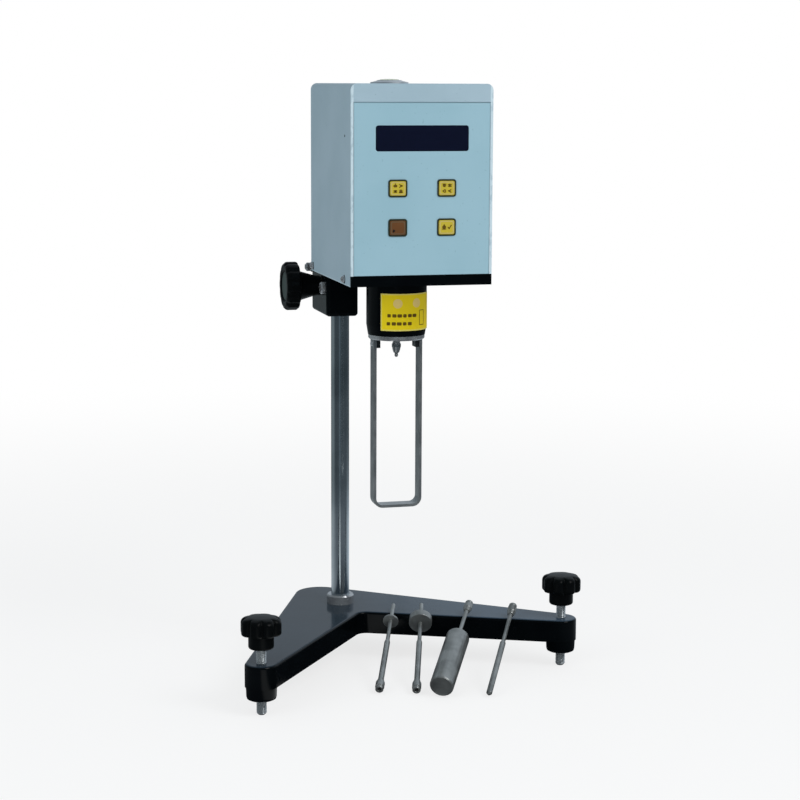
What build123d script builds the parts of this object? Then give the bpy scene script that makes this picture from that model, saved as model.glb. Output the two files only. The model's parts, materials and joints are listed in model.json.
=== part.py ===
from build123d import *
import os
from math import acos, atan2, cos, degrees, hypot, pi, radians, sin, sqrt, tan

# Rotational viscometer: a digital measuring head that a rack and pinion lifts on a column,
# a V-shaped cast base on two levelling screws and a fixed rear foot, and four loose spindles.
# Everything is modelled about the column's axis, with the head's front facing -Y, and then
# moved as one by COLUMN_X and COLUMN_Y, so that the origin is under the middle of the whole.

# Stand
COLUMN_X, COLUMN_Y = -34.2, 59.7
COLUMN_R = 7.5
COLUMN_TOP = 408.0
BASE_YAW = 15.4  # the V's middle line, turned from the head's front towards +X
ARM_REACH = 187.0  # column to levelling screw
ARM_HALF_ANGLE = 46.4
BASE_TOP = 40.0
ARM_DEPTH = 18.0
BASE_WALL = 6.0
TOP_PLATE = 7.0
FOOT_BOSS_R, FOOT_BOSS_BOTTOM = 12.6, 12.0
REAR_FOOT_OFFSET, REAR_R = 37.0, 21.0
CROTCH_OFFSET, CROTCH_R = 22.0, 10.0
STUD_R = 4.0
LEVEL_KNOB_R, LEVEL_KNOB_BOTTOM, LEVEL_KNOB_TOP = 15.8, 51.4, 76.0

# Lift
PRESSURE_ANGLE = 20.0
LIFT_MODULE, LIFT_TEETH = 1.0, 16
PITCH_LINE_Y = 5.8  # the rack's pitch line behind the column's axis
RACK_HALF_WIDTH = 3.0
PINION_Z = 305.6
TEETH_BELOW, TEETH_ABOVE = 29, 23
LIFT_KNOB_R, LIFT_KNOB_END, LIFT_KNOB_THICK = 19.8, 44.3, 11.6
BLOCK_HALF_X, BLOCK_FRONT, BLOCK_REAR = 13.2, -10.0, 50.0
BLOCK_BOTTOM, BLOCK_TOP = 282.0, 345.0
BRAKE_Z = 304.7
LOCK_Y, LOCK_Z = 41.0, 318.5
FLANGE_RIGHT, FLANGE_REAR, FLANGE_TOP = 70.0, -5.0, 372.0
FLANGE_BOLT_X, FLANGE_BOLT_Z = (20.0, 60.0), (334.0, 362.0)

# Head
HEAD_X, HEAD_WIDTH = 27.4, 108.4
HEAD_FRONT, HEAD_REAR = -157.4, -14.0
HEAD_BOTTOM, HEAD_TOP = 321.0, 470.0
SHEET = 2.0
PLATE_THICK = 8.0
TOP_BAND = 13.4
NECK_Y = -80.7
COLLAR_R, COLLAR_BOTTOM = 23.7, 276.0
RING_BOTTOM = 272.5
GUARD_BOTTOM, GUARD_HALF, GUARD_WIDTH, GUARD_THICK = 138.0, 19.5, 12.0, 2.2
COUPLING_TIP, STUD_SHOULDER, COUPLING_STUD_R = 257.6, 261.0, 1.5
SHAFT_R = 2.0

# Front panel
DISPLAY_Z, DISPLAY_W, DISPLAY_H = 430.1, 71.0, 19.0
KEY_HALF_PITCH, KEY_ROWS = 18.7, (393.5, 364.5)
KEY_W, KEY_H = 12.0, 10.6
FRAME_W, FRAME_H = 14.4, 13.0

# Rear wall
ROCKER_X, ROCKER_Y, ROCKER_PIN_R = 35.5, -16.5, 1.2

# Drive train
DRIVE_MODULE, DRIVE_TEETH, MOTOR_TEETH = 0.8, 40, 12
MECHANISM_Z = 385.0
GEAR_Z = 375.0
DISC_R = 20.0

# Fits: radial play of a fixed joint, of a running one, and the gap between loose bodies
FIT, RUN, GAP = 0.02, 0.05, 0.3


def box(x0, x1, y0, y1, z0, z1):
    """A block between two corners."""
    middle = Pos((x0 + x1) / 2, (y0 + y1) / 2, (z0 + z1) / 2)
    return middle * Box(x1 - x0, y1 - y0, z1 - z0)


def post(radius, z0, z1, x=0.0, y=0.0):
    return Pos(x, y, (z0 + z1) / 2) * Cylinder(radius, z1 - z0)


def rod_x(radius, x0, x1, y, z):
    return Pos((x0 + x1) / 2, y, z) * Rot(0, 90, 0) * Cylinder(radius, x1 - x0)


def rod_y(radius, y0, y1, x, z):
    return Pos(x, (y0 + y1) / 2, z) * Rot(90, 0, 0) * Cylinder(radius, y1 - y0)


def turned(outline, x=0.0, y=0.0):
    """A closed outline of (radius, height) points, turned about the vertical through x, y."""
    return Pos(x, y, 0) * revolve(Plane.XZ * make_face(Polyline(*outline, close=True)), Axis.Z)


def group(solids):
    return Compound(children=list(solids))


def involute(angle):
    return tan(angle) - angle


def gear_face(teeth, module, backlash=0.08):
    """A spur gear's outline, one tooth pointing along +X. Each flank is radial up to the base
    circle and follows the involute to the tip."""
    pitch_r = teeth * module / 2
    base_r = pitch_r * cos(radians(PRESSURE_ANGLE))
    root_r, tip_r = pitch_r - 1.25 * module, pitch_r + 0.9 * module
    radii = sorted([root_r, max(base_r, root_r + 0.01), (pitch_r + base_r) / 2 + 0.1, tip_r])
    at_pitch = pi / (2 * teeth) - backlash / (2 * pitch_r)
    flank = []
    for r in radii:
        pressure = acos(min(1.0, base_r / r))
        flank.append((r, at_pitch + involute(radians(PRESSURE_ANGLE)) - involute(pressure)))
    points = []
    for tooth in range(teeth):
        middle = 2 * pi * tooth / teeth
        points += [(r * cos(middle - half), r * sin(middle - half)) for r, half in flank]
        points += [(r * cos(middle + half), r * sin(middle + half)) for r, half in flank[::-1]]
    return make_face(Polyline(*points, close=True))


def lobed_face(radius, lobes, cutter_r, depth):
    """A disc with scallops all round its rim."""
    cutters = PolarLocations(radius + cutter_r - depth, lobes) * Circle(cutter_r)
    return Circle(radius) - cutters


def arm_end(side):
    """A levelling screw's place in the base's own frame, whose middle line is -Y."""
    angle = radians(ARM_HALF_ANGLE)
    return side * ARM_REACH * sin(angle), -ARM_REACH * cos(angle)


def base_outline():
    """Two tapering arms from a round heel, each the hull of heel, crotch and foot boss."""
    outline = None
    for side in (-1, 1):
        circles = [
            Pos(0, REAR_FOOT_OFFSET) * Circle(REAR_R),
            Pos(0, -CROTCH_OFFSET) * Circle(CROTCH_R),
            Pos(*arm_end(side)) * Circle(FOOT_BOSS_R),
        ]
        arm = make_hull([edge for circle in circles for edge in circle.edges()])
        outline = arm if outline is None else outline + arm
    crotch = outline.vertices().sort_by(lambda v: hypot(v.X, v.Y + CROTCH_OFFSET + 12.5))[0]
    return fillet(crotch, 9.0)


def base_casting():
    bottom = BASE_TOP - ARM_DEPTH
    outline = base_outline()
    body = Pos(0, 0, bottom) * extrude(outline, ARM_DEPTH)
    body = fillet(body.faces().sort_by(Axis.Z)[-1].edges(), 2.0)
    pocket = Pos(0, 0, bottom) * extrude(offset(outline, -BASE_WALL), ARM_DEPTH - TOP_PLATE)
    body -= pocket
    body += post(17, bottom, BASE_TOP - 1)
    body += post(REAR_R - 4, FOOT_BOSS_BOTTOM + 2, BASE_TOP - 1, 0, REAR_FOOT_OFFSET)
    for side in (-1, 1):
        x, y = arm_end(side)
        body += turned([(0, FOOT_BOSS_BOTTOM), (9.4, FOOT_BOSS_BOTTOM), (11.0, FOOT_BOSS_BOTTOM + 0.8),
                        (11.5, FOOT_BOSS_BOTTOM + 2.4), (FOOT_BOSS_R - 0.1, BASE_TOP - 3),
                        (0, BASE_TOP - 3)], x, y)
        body -= post(STUD_R + RUN, 0, BASE_TOP + 1, x, y)
    body -= post(COLUMN_R + FIT, 26, BASE_TOP + 1)
    body -= post(STUD_R + FIT, 20, 27)
    body -= post(STUD_R + FIT, 0, 31, 0, REAR_FOOT_OFFSET)
    return Rot(0, 0, BASE_YAW) * body


def column():
    top = post(COLUMN_R, 26, COLUMN_TOP)
    slot = box(-RACK_HALF_WIDTH, RACK_HALF_WIDTH, 2, 9, *rack_span())
    thread = post(STUD_R + FIT, 25, 42)
    return top - slot - thread


def rack_span():
    step = pi * LIFT_MODULE
    return PINION_Z - TEETH_BELOW * step, PINION_Z + TEETH_ABOVE * step


def rack():
    """Straight teeth facing backwards, with a gap centred on the pinion's height."""
    slope = tan(radians(PRESSURE_ANGLE))
    tip, root = 0.8 * LIFT_MODULE, 1.25 * LIFT_MODULE
    half_pitch_tooth = pi * LIFT_MODULE / 4 - 0.04
    low, high = rack_span()
    points = [(2.0, low)]
    for tooth in range(TEETH_BELOW + TEETH_ABOVE):
        middle = low + (tooth + 0.5) * pi * LIFT_MODULE
        at_root, at_tip = half_pitch_tooth + root * slope, half_pitch_tooth - tip * slope
        points += [
            (PITCH_LINE_Y - root, middle - at_root),
            (PITCH_LINE_Y + tip, middle - at_tip),
            (PITCH_LINE_Y + tip, middle + at_tip),
            (PITCH_LINE_Y - root, middle + at_root),
        ]
    points += [(2.0, high)]
    outline = make_face(Polyline(*points, close=True))
    return Pos(-RACK_HALF_WIDTH, 0, 0) * extrude(Plane.YZ * outline, 2 * RACK_HALF_WIDTH)


def column_collar():
    """The turned collar that closes the joint of column and base."""
    inner = COLUMN_R + FIT
    low, high = BASE_TOP, BASE_TOP + 7.7
    return turned([(inner, low), (11.0, low), (11.3, high - 1.2), (10.4, high), (8.4, high),
                   (inner, high - 0.6)])


def column_bolt():
    head = Pos(0, 0, 16.5) * extrude(RegularPolygon(7.5, 6), 5.4)
    return head + post(STUD_R, 21, 40)


def column_cap():
    return turned([(0, COLUMN_TOP), (7.5, COLUMN_TOP), (7.5, 410.5), (6, 412), (0, 412)])


def rear_foot():
    foot = turned([(0, 0), (7.5, 0), (9, 1.5), (9, 14), (STUD_R, 14), (STUD_R, 30), (0, 30)])
    return Rot(0, 0, BASE_YAW) * Pos(0, REAR_FOOT_OFFSET, 0) * foot


def levelling_stud(side):
    outline = [(0, 0), (2.2, 0), (STUD_R, 2.4), (STUD_R, 72), (0, 72)]
    return Rot(0, 0, BASE_YAW) * turned(outline, *arm_end(side))


def levelling_knob(side):
    """A moulded star knob: a hub below and a domed, scalloped head above."""
    low, top, rim = LEVEL_KNOB_BOTTOM, LEVEL_KNOB_TOP, LEVEL_KNOB_R
    head = Pos(0, 0, low + 10) * extrude(lobed_face(rim, 8, 4.5, 1.9), top - low - 10)
    dome = turned([(0, low), (9.7, low), (9.7, low + 10.7), (rim - 1.2, low + 10.7),
                   (rim, low + 11.9), (rim, top - 3.6), (rim - 1.6, top - 1.7), (rim - 6, top - 0.4),
                   (0, top)])
    hub = turned([(0, low), (8.6, low), (9.7, low + 1.1), (9.7, low + 11), (0, low + 11)])
    knob = (head & dome) + hub
    knob -= post(STUD_R + RUN, low - 1, 72 + GAP)
    return Rot(0, 0, BASE_YAW) * Pos(*arm_end(side), 0) * knob


def pinion_y():
    return PITCH_LINE_Y + LIFT_MODULE * LIFT_TEETH / 2 + 0.05


def carriage_block():
    """The block that slides on the column, and the flange that carries the head."""
    middle_y = (BLOCK_FRONT + BLOCK_REAR) / 2
    plan = Pos(0, middle_y) * RectangleRounded(2 * BLOCK_HALF_X, BLOCK_REAR - BLOCK_FRONT, 3)
    block = Pos(0, 0, BLOCK_BOTTOM) * extrude(plan, BLOCK_TOP - BLOCK_BOTTOM)
    block = fillet(block.faces().sort_by(Axis.Z)[0].edges(), 2.8)
    flange_low = HEAD_BOTTOM + 0.5
    face = Pos((FLANGE_RIGHT - BLOCK_HALF_X) / 2, (flange_low + FLANGE_TOP) / 2) * RectangleRounded(
        FLANGE_RIGHT + BLOCK_HALF_X, FLANGE_TOP - flange_low, 3)
    flange = Pos(0, HEAD_REAR + FIT, 0) * extrude(
        Plane.XZ * face, -(FLANGE_REAR - HEAD_REAR - FIT))
    body = block + flange
    body += rod_x(4.2, -BLOCK_HALF_X - 2.3, -BLOCK_HALF_X + 2, LOCK_Y, LOCK_Z)
    body -= post(COLUMN_R + RUN, BLOCK_BOTTOM - 1, BLOCK_TOP)
    body -= post(COLUMN_R + 1, BLOCK_TOP, FLANGE_TOP + 1)
    body -= rod_x(9.6, -3.5, 3.5, pinion_y(), PINION_Z)
    body -= rod_x(6 + FIT, -BLOCK_HALF_X - 1, BLOCK_HALF_X + 1, pinion_y(), PINION_Z)
    body -= rod_x(3 + RUN, -BLOCK_HALF_X - 1, 0, 0, BRAKE_Z)
    body -= rod_x(2 + RUN, -BLOCK_HALF_X - 4, -5, LOCK_Y, LOCK_Z)
    for x in FLANGE_BOLT_X:
        for z in FLANGE_BOLT_Z:
            body -= rod_y(2.7, HEAD_REAR - 1, FLANGE_REAR + 1, x, z)
    return body


def pinion_bushes():
    bushes = []
    for side in (-1, 1):
        inner, outer = sorted((side * 3.6, side * BLOCK_HALF_X))
        bush = rod_x(6, inner, outer, pinion_y(), PINION_Z)
        bushes.append(bush - rod_x(STUD_R + RUN, inner - 1, outer + 1, pinion_y(), PINION_Z))
    return group(bushes)


def brake_pad():
    return rod_x(3, -9.6, -COLUMN_R - 0.1, 0, BRAKE_Z)


def carriage_screws():
    screws = []
    for x in FLANGE_BOLT_X:
        for z in FLANGE_BOLT_Z:
            head = rod_y(4.25, FLANGE_REAR, FLANGE_REAR + 4, x, z)
            socket = Pos(x, FLANGE_REAR + 4, z) * Rot(90, 0, 0) * extrude(RegularPolygon(2.3, 6), 2.2)
            screws.append(head - socket + rod_y(2.5, -20.5, FLANGE_REAR, x, z))
    return group(screws)


def lift_pinion():
    """Sixteen teeth cut on the shaft; one tooth points at the rack."""
    teeth = extrude(Rot(0, 0, 180) * gear_face(LIFT_TEETH, LIFT_MODULE), 5.6)
    # the outline's X turns to Y and its Y to Z, so the tooth along -X faces the rack at -Y
    teeth = Pos(-2.8, pinion_y(), PINION_Z) * Plane.YZ.location * teeth
    return teeth + rod_x(STUD_R, -38, BLOCK_HALF_X, pinion_y(), PINION_Z)


def lift_knob():
    """A fluted handwheel with a dished end, pressed on the pinion's shaft."""
    depth = LIFT_KNOB_THICK
    rim = extrude(lobed_face(LIFT_KNOB_R, 12, 3.2, 1.1), depth)
    form = turned([(0, 0), (LIFT_KNOB_R - 1, 0), (LIFT_KNOB_R, 1), (LIFT_KNOB_R, depth - 2),
                   (LIFT_KNOB_R - 2, depth), (0, depth)])
    hub_end = -LIFT_KNOB_END + depth + BLOCK_HALF_X + 0.8
    hub = turned([(0, 0.5), (12.5, 0.5), (12.5, 0), (8.2, hub_end + 4), (8.2, hub_end), (0, hub_end)])
    knob = (rim & form) + hub
    knob -= turned([(0, depth - 2.2), (11.7, depth - 2.2), (13.2, depth + 0.01), (0, depth + 0.01)])
    knob -= post(STUD_R + FIT, -20, 38 - (LIFT_KNOB_END - depth) + 0.1)
    return Pos(-LIFT_KNOB_END + depth, pinion_y(), PINION_Z) * Rot(0, -90, 0) * knob


def lift_knob_cap():
    cap = turned([(0, 0), (11.65, 0), (11.65, 0.8), (10.4, 1.4), (0, 1.4)])
    return Pos(-LIFT_KNOB_END + 2.2, pinion_y(), PINION_Z) * Rot(0, -90, 0) * cap


def tension_screw():
    """The slotted screw that sets how firmly the pad brakes the column."""
    face = -BLOCK_HALF_X - 0.2
    head = turned([(0, 0), (5, 0), (5, 2), (4.2, 3.4), (0, 3.6)]) - box(-6, 6, -0.6, 0.6, 2, 5)
    head = Pos(face, 0, BRAKE_Z) * Rot(0, -90, 0) * head
    return head + rod_x(3, face, -9.7, 0, BRAKE_Z)


def lock_screw():
    face = -BLOCK_HALF_X - 2.3 - 0.2
    head = Rot(0, 0, 7.5) * extrude(RegularPolygon(3.6, 12), 5)
    return Pos(face, LOCK_Y, LOCK_Z) * Rot(0, -90, 0) * head + rod_x(2, face, -5.4, LOCK_Y, LOCK_Z)


def head_left():
    return HEAD_X - HEAD_WIDTH / 2


def head_right():
    return HEAD_X + HEAD_WIDTH / 2


def base_plate():
    plate = box(head_left() + SHEET + FIT, head_right() - SHEET - FIT,
                HEAD_FRONT, HEAD_REAR - SHEET - FIT, HEAD_BOTTOM, HEAD_BOTTOM + PLATE_THICK)
    plate += front_lip(0)
    plate -= post(14, HEAD_BOTTOM - 1, HEAD_BOTTOM + PLATE_THICK + 1, HEAD_X, NECK_Y)
    for x, y, _ in side_screw_places():
        reach = 6 if x < HEAD_X else -6
        plate -= rod_x(1.6, *sorted((x - reach, x + 1.2 * reach)), y, HEAD_BOTTOM + PLATE_THICK / 2)
    return plate


def front_lip(play):
    """The base plate's front edge, which runs across the ends of the cover's two sides."""
    return box(head_left(), head_right(), HEAD_FRONT, HEAD_FRONT + SHEET + play,
               HEAD_BOTTOM, HEAD_BOTTOM + PLATE_THICK + play)


def side_screw_places():
    """Where the cover is screwed to the base plate: x of the sheet's outside, y, and outward."""
    return [(x, y, out) for x, out in ((head_left(), -1), (head_right(), 1)) for y in (-135.5, -21.1)]


def housing_shell():
    """The bent cover: sides, top, rear and a folded band above the front panel."""
    depth = HEAD_REAR - HEAD_FRONT

    def section(inset, low):
        """The cover's front view, its top corners bent to a radius."""
        top, bottom = HEAD_TOP - inset, low
        face = Pos(HEAD_X, (top + bottom) / 2) * Rectangle(HEAD_WIDTH - 2 * inset, top - bottom)
        upper = face.vertices().group_by(Axis.Y)[-1]
        return fillet(upper, 5.0 - inset)

    outer = Pos(0, HEAD_REAR, 0) * extrude(Plane.XZ * section(0, HEAD_BOTTOM), depth)
    inner = Pos(0, HEAD_REAR - SHEET, 0) * extrude(
        Plane.XZ * section(SHEET, HEAD_BOTTOM - 1), depth - 2 * SHEET)
    mouth = box(head_left() + SHEET, head_right() - SHEET, HEAD_FRONT - 1, HEAD_FRONT + SHEET + 1,
                HEAD_BOTTOM - 1, HEAD_TOP - TOP_BAND)
    shell = outer - inner - mouth - front_lip(FIT)
    for x, y, out in side_screw_places():
        shell -= rod_x(1.6, *sorted((x - 3 * out, x + out)), y, HEAD_BOTTOM + PLATE_THICK / 2)
    for x in FLANGE_BOLT_X:
        for z in FLANGE_BOLT_Z:
            shell -= rod_y(2.7, HEAD_REAR - SHEET - 1, HEAD_REAR + 1, x, z)
    shell -= rod_y(5.5 + FIT, HEAD_REAR - SHEET - 1, HEAD_REAR + 1, 64, 410)
    shell -= box(26 - FIT, 45 + FIT, HEAD_REAR - SHEET - 1, HEAD_REAR + 1, 403.5 - FIT, 416.5 + FIT)
    return shell


def housing_screws():
    screws = []
    for x, y, out in side_screw_places():
        dome = turned([(0, 0), (2.3, 0), (2.0, 0.9), (1.2, 1.4), (0, 1.5)])
        z = HEAD_BOTTOM + PLATE_THICK / 2
        dome = Pos(x, y, z) * Rot(0, 90 * out, 0) * dome
        screws.append(dome + rod_x(1.5, *sorted((x + 0.5 * out, x - 5.5 * out)), y, z))
    return group(screws)


def rear_bracket():
    """The steel angle inside the cover that the lift's flange is bolted to."""
    rear = HEAD_REAR - SHEET - FIT
    floor = HEAD_BOTTOM + PLATE_THICK
    angle = box(8, 72, rear - 5, rear, floor, FLANGE_TOP) + box(8, 72, rear - 24, rear, floor, floor + 4)
    for x in FLANGE_BOLT_X:
        for z in FLANGE_BOLT_Z:
            angle -= rod_y(2.5 + FIT, rear - 6, rear + 1, x, z)
    return angle


def neck_collar():
    top, low, wall = HEAD_BOTTOM, COLLAR_BOTTOM, 5.0
    inner = COLLAR_R - wall
    return turned([(inner, low), (COLLAR_R - 1.3, low), (COLLAR_R, low + 8), (COLLAR_R, top),
                   (14, top), (14, top - 4), (inner, top - 4)], HEAD_X, NECK_Y)


def guard_ring():
    """The bright disc under the collar, with a cone round the shaft and two lugs for the guard."""
    low, high, bore = RING_BOTTOM, COLLAR_BOTTOM, 2.4
    ring = turned([(bore, low - 1.4), (3.6, low - 1.4), (6.6, low), (21.4, low), (22.1, low + 0.8),
                   (22.1, high), (bore, high)], HEAD_X, NECK_Y)
    outer = GUARD_HALF - GUARD_THICK - FIT
    for side in (-1, 1):
        near, far = sorted((HEAD_X + side * (outer - 3.2), HEAD_X + side * outer))
        ring += box(near, far, NECK_Y - 5, NECK_Y + 5, low - 7, low + 0.5)
        ring -= rod_x(1.22, near - 1, far + 1, NECK_Y, low - 4)
    return ring


def guard_frame():
    """A flat strip bent to a U round the spindle's room."""
    high = RING_BOTTOM - FIT
    middle = Pos(HEAD_X, (GUARD_BOTTOM + high) / 2)
    bend = 7.5
    outer = middle * Rectangle(2 * GUARD_HALF, high - GUARD_BOTTOM)
    outer = fillet(outer.vertices().group_by(Axis.Y)[0], bend)
    inner_low = GUARD_BOTTOM + GUARD_THICK
    inner = Pos(HEAD_X, (inner_low + high + 2) / 2) * Rectangle(
        2 * (GUARD_HALF - GUARD_THICK), high + 2 - inner_low)
    inner = fillet(inner.vertices().group_by(Axis.Y)[0], bend - GUARD_THICK)
    strip = Pos(0, NECK_Y + GUARD_WIDTH / 2, 0) * extrude(Plane.XZ * (outer - inner), GUARD_WIDTH)
    return strip - rod_x(1.3, HEAD_X - 25, HEAD_X + 25, NECK_Y, RING_BOTTOM - 4)


def guard_screws():
    screws = []
    for side in (-1, 1):
        head = Rot(0, 90 * side, 0) * turned([(0, 0), (2.3, 0), (2.1, 0.9), (1.4, 1.3), (0, 1.4)])
        x = HEAD_X + side * GUARD_HALF
        z = RING_BOTTOM - 4
        shank = rod_x(1.2, *sorted((x, x - side * 5)), NECK_Y, z)
        screws.append(Pos(x, NECK_Y, z) * head + shank)
    return group(screws)


def lower_bearing():
    low = COLLAR_BOTTOM
    return turned([(SHAFT_R + RUN, low), (12, low), (12, low + 2), (5, low + 3), (5, low + 8),
                   (SHAFT_R + RUN, low + 8)], HEAD_X, NECK_Y)


def spindle_shaft():
    """The measuring shaft, from the coupling up to its pivot in the drive hub."""
    return turned([(0, 264), (SHAFT_R, 264), (SHAFT_R, 369), (1, 371), (1, 373), (0, 373)],
                  HEAD_X, NECK_Y)


def spindle_coupling():
    """A knurled boss that tapers to the threaded stud which the spindles screw on to."""
    stud, shoulder, tip = COUPLING_STUD_R, STUD_SHOULDER, COUPLING_TIP
    outline = [(0, tip), (stud - 0.7, tip), (stud, tip + 0.7), (stud, shoulder), (2.25, shoulder),
               (3.0, shoulder + 2.2), (3.6, 266.2), (3.6, 267.8), (2.8, 269.4), (2.8, 270.7),
               (SHAFT_R + FIT, 270.7), (SHAFT_R + FIT, 264 - FIT), (0, 264 - FIT)]
    return turned(outline, HEAD_X, NECK_Y)


def output_disc():
    """The slotted disc that the torque sensor reads, on a collet that holds the hairspring."""
    low, bore = 350.0, SHAFT_R + FIT
    disc = turned([(bore, low), (DISC_R, low), (DISC_R, low + 1.2), (4.72, low + 1.2),
                   (4.72, low + 8.2), (bore, low + 8.2)], HEAD_X, NECK_Y)
    return disc - disc_slot(low)


def disc_slot(low):
    return box(HEAD_X - 1.5, HEAD_X + 1.5, NECK_Y - DISC_R - 1, NECK_Y - DISC_R + 5, low - 1, low + 2)


def hairspring():
    """A flat spiral of half turns, each wider than the last, from the shaft's collet outwards."""
    spiral, pitch, thick = None, 2.0, 0.5
    first = 5.0
    for turn in range(6):
        radius = first + turn * pitch / 2
        up = turn % 2 == 0
        centre = 0.0 if up else -pitch / 2
        ring = Circle(radius + thick / 2) - Circle(radius - thick / 2)
        half = Pos(0, 15 if up else -15) * Rectangle(60, 30)
        piece = Pos(centre, 0) * (ring & half)
        spiral = piece if spiral is None else spiral + piece
    return Pos(HEAD_X, NECK_Y, 356.5) * extrude(spiral, 1.4)


def drive_hub():
    """The driven sleeve in the upper plate, with the speed disc below the gear and a pin that
    holds the hairspring's outer end."""
    low, bore = 360.0, SHAFT_R + RUN
    high = MECHANISM_Z + 2.6
    hub = turned([(bore, low), (5, low), (5, low + 4), (DISC_R, low + 4), (DISC_R, low + 5.2),
                  (7, low + 5.2), (7, GEAR_Z), (6, GEAR_Z), (6, high), (0, high), (0, 375),
                  (bore, 373)], HEAD_X, NECK_Y)
    spring_pin = post(0.8, 356.5, low + 4.5, HEAD_X - 12.1, NECK_Y)
    return hub + spring_pin - disc_slot(low + 4)


def drive_gear():
    """The large wheel on the hub, lightened by six round holes."""
    wheel = gear_face(DRIVE_TEETH, DRIVE_MODULE) - Circle(6 + FIT)
    wheel -= PolarLocations(10.4, 6) * Circle(2.4)
    return Pos(HEAD_X, NECK_Y, GEAR_Z) * extrude(wheel, 5)


def motor_x():
    return HEAD_X + DRIVE_MODULE * (DRIVE_TEETH + MOTOR_TEETH) / 2 + 0.05


def motor_pinion():
    """Twelve teeth on the motor's shaft; a gap faces the wheel's tooth."""
    turn = 180 + 180 / MOTOR_TEETH
    pinion = extrude(Rot(0, 0, turn) * gear_face(MOTOR_TEETH, DRIVE_MODULE), 5)
    return Pos(motor_x(), NECK_Y, GEAR_Z) * pinion + post(1.5, GEAR_Z - 2, 391, motor_x(), NECK_Y)


def drive_motor():
    body = turned([(0, 388), (18, 388), (18, 409), (16.5, 410.5), (0, 410.5)], motor_x(), NECK_Y)
    return body - post(1.5 + RUN, 387, 392, motor_x(), NECK_Y)


def mechanism_plate():
    plan = Pos(HEAD_X + 8, NECK_Y) * RectangleRounded(86, 64, 5)
    plate = Pos(0, 0, MECHANISM_Z) * extrude(plan, 3)
    plate -= post(6 + RUN, MECHANISM_Z - 1, MECHANISM_Z + 4, HEAD_X, NECK_Y)
    return plate - post(2.5, MECHANISM_Z - 1, MECHANISM_Z + 4, motor_x(), NECK_Y)


def plate_posts():
    return group(
        post(3.5, HEAD_BOTTOM + PLATE_THICK, MECHANISM_Z, HEAD_X + 8 + dx, NECK_Y + dy)
        for dx in (-37, 37) for dy in (-26, 26))


def disc_sensors():
    """Two slotted light gates on one stand, round the edges of the speed and torque discs."""
    x = HEAD_X - 26
    stand = box(x, x + 4, NECK_Y - 6, NECK_Y + 6, HEAD_BOTTOM + PLATE_THICK, 370)
    for disc_low in (350.0, 364.0):
        gate = box(x + 4, x + 12.5, NECK_Y - 4, NECK_Y + 4, disc_low - 3.4, disc_low + 4.6)
        gate -= box(x + 5.3, x + 15, NECK_Y - 5, NECK_Y + 5, disc_low - 1, disc_low + 2.2)
        stand += gate
    return stand


def front_panel():
    low, high = HEAD_BOTTOM + PLATE_THICK + 0.2, HEAD_TOP - TOP_BAND - 0.2
    left, right = head_left() + SHEET + 0.2, head_right() - SHEET - 0.2
    panel = box(left, right, HEAD_FRONT, HEAD_FRONT + SHEET, low, high)
    window = Pos(HEAD_X, DISPLAY_Z) * RectangleRounded(DISPLAY_W, DISPLAY_H, 2)
    panel -= Pos(0, HEAD_FRONT + SHEET + 1, 0) * extrude(Plane.XZ * window, SHEET + 2)
    for x, z in key_places():
        panel -= rounded_plate(FRAME_W + 2 * FIT, FRAME_H + 2 * FIT, 2, x, z, -1, SHEET + 1)
    return panel


def rounded_plate(width, height, corner, x, z, front, back):
    """A plate parallel to the front, from front to back measured inwards from the panel's face."""
    face = Pos(x, z) * RectangleRounded(width, height, corner)
    return Pos(0, HEAD_FRONT + back, 0) * extrude(Plane.XZ * face, back - front)


def key_places():
    return [(HEAD_X + side * KEY_HALF_PITCH, z) for z in KEY_ROWS for side in (-1, 1)]


def display_window():
    return rounded_plate(DISPLAY_W - 2 * FIT, DISPLAY_H - 2 * FIT, 2, HEAD_X, DISPLAY_Z, 0.4, 2)


def display_module():
    module = rounded_plate(84, 38, 1, HEAD_X, DISPLAY_Z + 2, 2.1, 8)
    return module + rounded_plate(90, 42, 1, HEAD_X, DISPLAY_Z + 2, 8, 10.3)


def main_board():
    board = rounded_plate(98, 122, 2, HEAD_X, 394, 10.4, 12)
    for x in (-30, -10, 12, 32):
        board += box(HEAD_X + x - 5, HEAD_X + x + 5, HEAD_FRONT + 12, HEAD_FRONT + 14.5, 345, 352)
    return board


def key_frames():
    frames = []
    for x, z in key_places():
        outer = rounded_plate(FRAME_W, FRAME_H, 2, x, z, -0.6, 2.6)
        frames.append(outer - rounded_plate(KEY_W + 0.4, KEY_H + 0.4, 1.4, x, z, -2, 4))
    return group(frames)


def key_cap(x, z):
    """A cap with a lip behind its frame and a stem into its switch."""
    cap = rounded_plate(KEY_W, KEY_H, 1.2, x, z, -1.1, 2.9)
    face = cap.faces().sort_by(Axis.Y)[0]
    cap = chamfer(face.edges(), 0.4)
    cap += rounded_plate(KEY_W + 1.8, KEY_H + 1.8, 1.2, x, z, 2.9, 3.8)
    return cap + rod_y(1.6, HEAD_FRONT + 3.8, HEAD_FRONT + 8, x, z)


def key_switches():
    switches = []
    for x, z in key_places():
        body = rounded_plate(6.2, 6.2, 0.5, x, z, 7, 10.4)
        switches.append(body - rod_y(1.85, HEAD_FRONT + 6, HEAD_FRONT + 9.2, x, z))
    return group(switches)


def power_module():
    return box(head_left() + SHEET + 2, 6, -46, -18, HEAD_BOTTOM + PLATE_THICK, 358)


def power_inlet():
    """A round low-voltage socket with its nut inside the cover."""
    front, rear = HEAD_REAR - SHEET, HEAD_REAR
    inlet = rod_y(7, rear, rear + 1.6, 64, 410) + rod_y(5.5, front - 12, rear, 64, 410)
    inlet += Pos(64, front, 410) * Rot(90, 0, 0) * extrude(RegularPolygon(8, 6), 3)
    inlet -= rod_y(2.85, rear - 9, rear + 2, 64, 410)
    return inlet + rod_y(1.0, rear - 9.5, rear + 0.5, 64, 410)


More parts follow.
